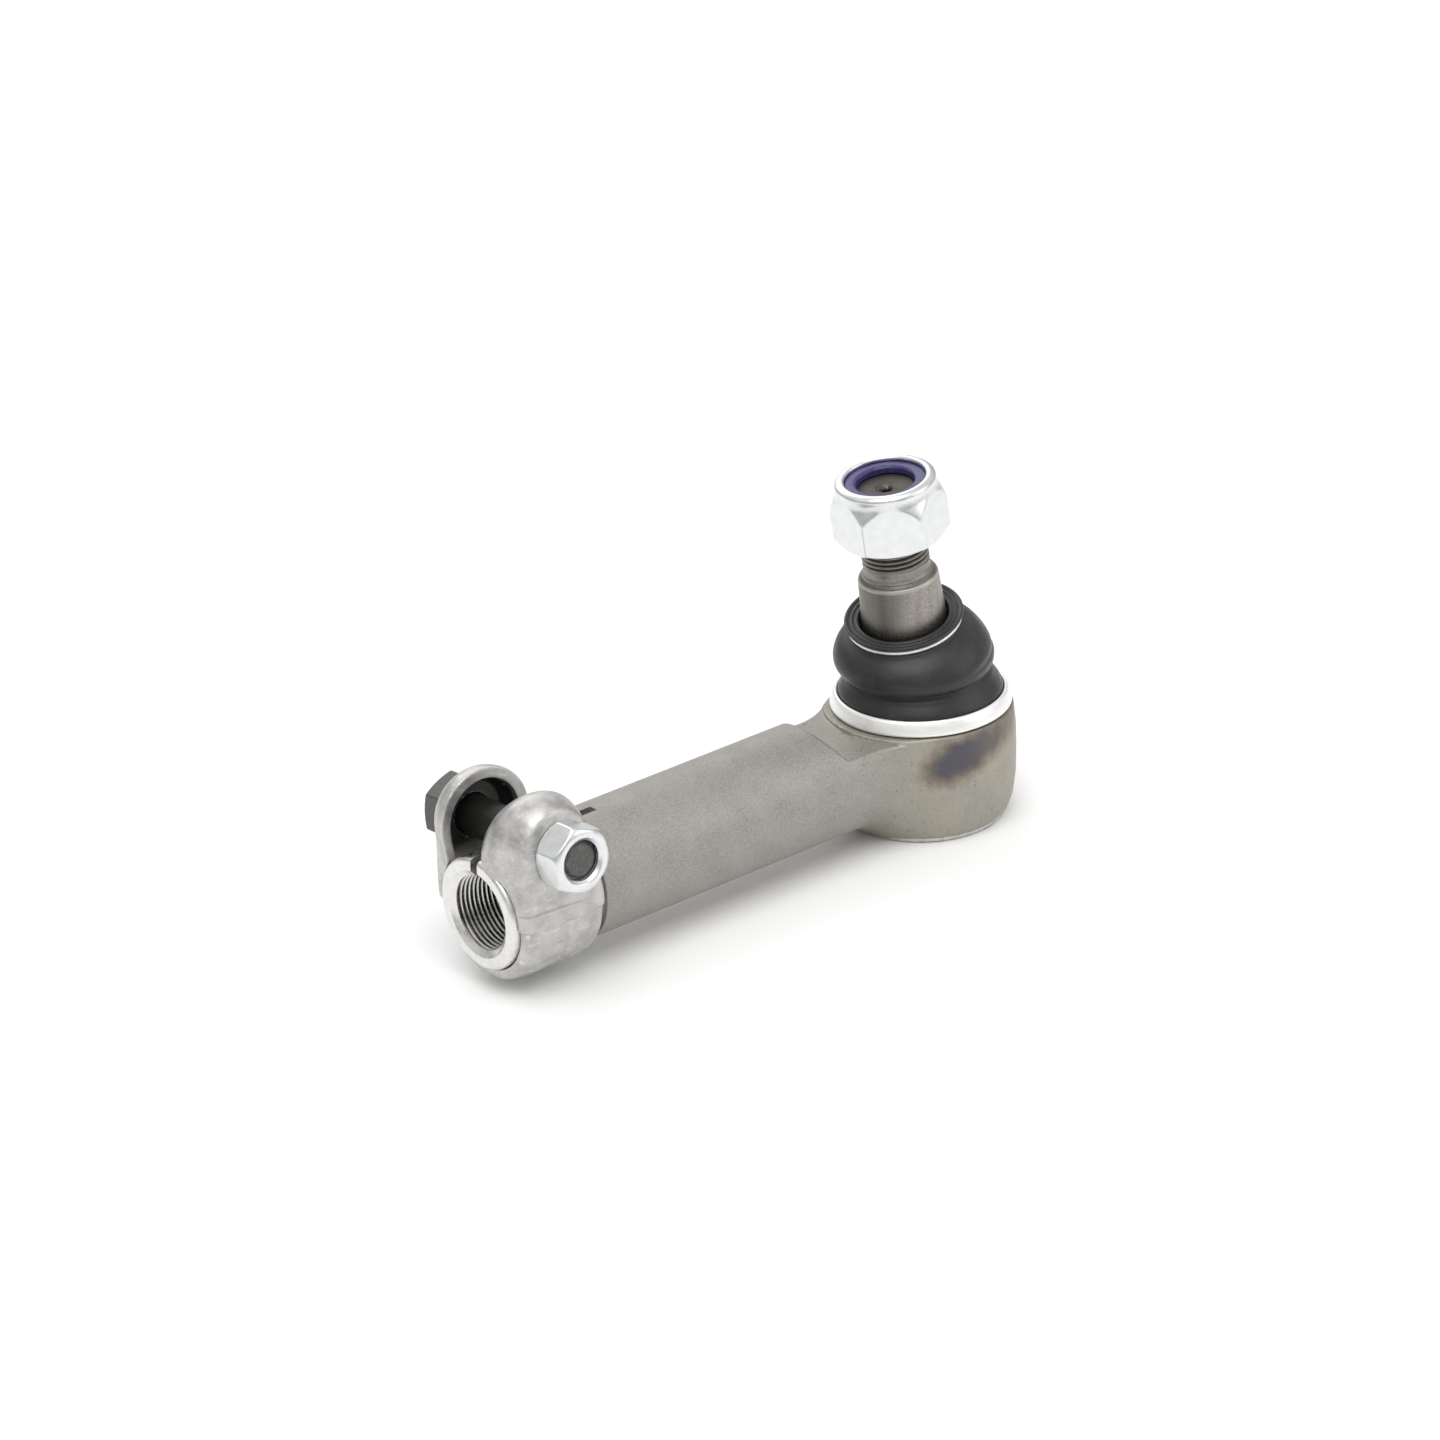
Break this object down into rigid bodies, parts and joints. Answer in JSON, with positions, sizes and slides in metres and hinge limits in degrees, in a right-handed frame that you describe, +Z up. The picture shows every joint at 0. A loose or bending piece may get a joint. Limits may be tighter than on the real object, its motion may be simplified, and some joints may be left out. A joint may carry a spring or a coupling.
{
  "type": "tie rod end",
  "caption": "Tie rod end with a slotted female-thread tube and bolted clamp, a ball stud in a forged head, a rubber dust boot and a self-locking hexagon nut.",
  "frame": {"origin": "centre of the ball", "axes": "+X along the tube from its mouth towards the head, +Z up the head's axis to the stud side, Y across along the clamp bolt"},
  "size_m": [0.1947, 0.0624, 0.1116],
  "materials": {
    "forged_steel": "forged and blasted, turned along the tube, heat-tinted patch beside the head",
    "bearing_polymer": "moulded bearing shell",
    "spring_steel": "hardened spring steel",
    "turned_steel": "pressed plate",
    "stud_steel": "phosphated and turned",
    "zinc_plate": "bright zinc plating",
    "violet_nylon": "dyed nylon ring",
    "black_rubber": "moulded rubber with a faint sheen",
    "bright_ring": "bright plated ring",
    "pressed_zinc": "pressed sheet with dull zinc",
    "dark_bolt": "phosphated and oiled"
  },
  "bodies": {
    "housing": {"housing": "forged_steel", "upper_seat": "bearing_polymer", "lower_seat": "bearing_polymer", "preload_spring": "spring_steel", "closure_plate": "turned_steel", "closure_seal": "black_rubber", "boot_lower_ring": "bright_ring", "clamp": "pressed_zinc"},
    "boot": {"dust_boot": "black_rubber"},
    "boot_collar": {"boot_top_ring": "bright_ring"},
    "stud": {"ball_stud": "stud_steel"},
    "nut_travel": {"nylon_insert": "violet_nylon"},
    "lock_nut": {"lock_nut": "zinc_plate"},
    "clamp_bolt": {"clamp_bolt": "dark_bolt"},
    "clamp_nut": {"clamp_nut": "zinc_plate"}
  },
  "joints": [
    {"name": "stud_swing_along", "type": "hinge", "parent": "housing", "child": "boot", "pos_m": [0, 0, 0], "axis": [0, 1, 0], "range_deg": [-11, 25], "deforming": ["dust_boot"]},
    {"name": "stud_swing_across", "type": "hinge", "parent": "boot", "child": "boot_collar", "pos_m": [0, 0, 0], "axis": [1, 0, 0], "range_deg": [-18, 18]},
    {"name": "stud_spin", "type": "hinge", "parent": "boot_collar", "child": "stud", "pos_m": [0, 0, 0], "axis": [-0.1219, 0, 0.9925], "continuous": true},
    {"name": "lock_nut_travel", "type": "slide", "parent": "stud", "child": "nut_travel", "axis": [-0.1219, 0, 0.9925], "range_m": [-0.00675, 0.012], "deforming": ["nylon_insert"]},
    {"name": "lock_nut_turn", "type": "hinge", "parent": "nut_travel", "child": "lock_nut", "pos_m": [-0.00975, 0, 0.0794], "axis": [-0.1219, 0, 0.9925], "range_deg": [-1621, 2881]},
    {"name": "clamp_bolt_turn", "type": "hinge", "parent": "housing", "child": "clamp_bolt", "pos_m": [-0.1515, 0.00107, 0.02547], "axis": [0, 0.9986, -0.0523], "range_deg": [0, 1441]},
    {"name": "clamp_nut_travel", "type": "slide", "parent": "housing", "child": "clamp_nut", "axis": [0, -0.9986, 0.0523], "range_m": [0, 0.007]}
  ],
  "couplings": [
    {"joint": "lock_nut_turn", "follows": "lock_nut_travel", "rad_per_m": 4188.8},
    {"joint": "clamp_bolt_turn", "follows": "clamp_nut_travel", "rad_per_m": 3590.4}
  ]
}
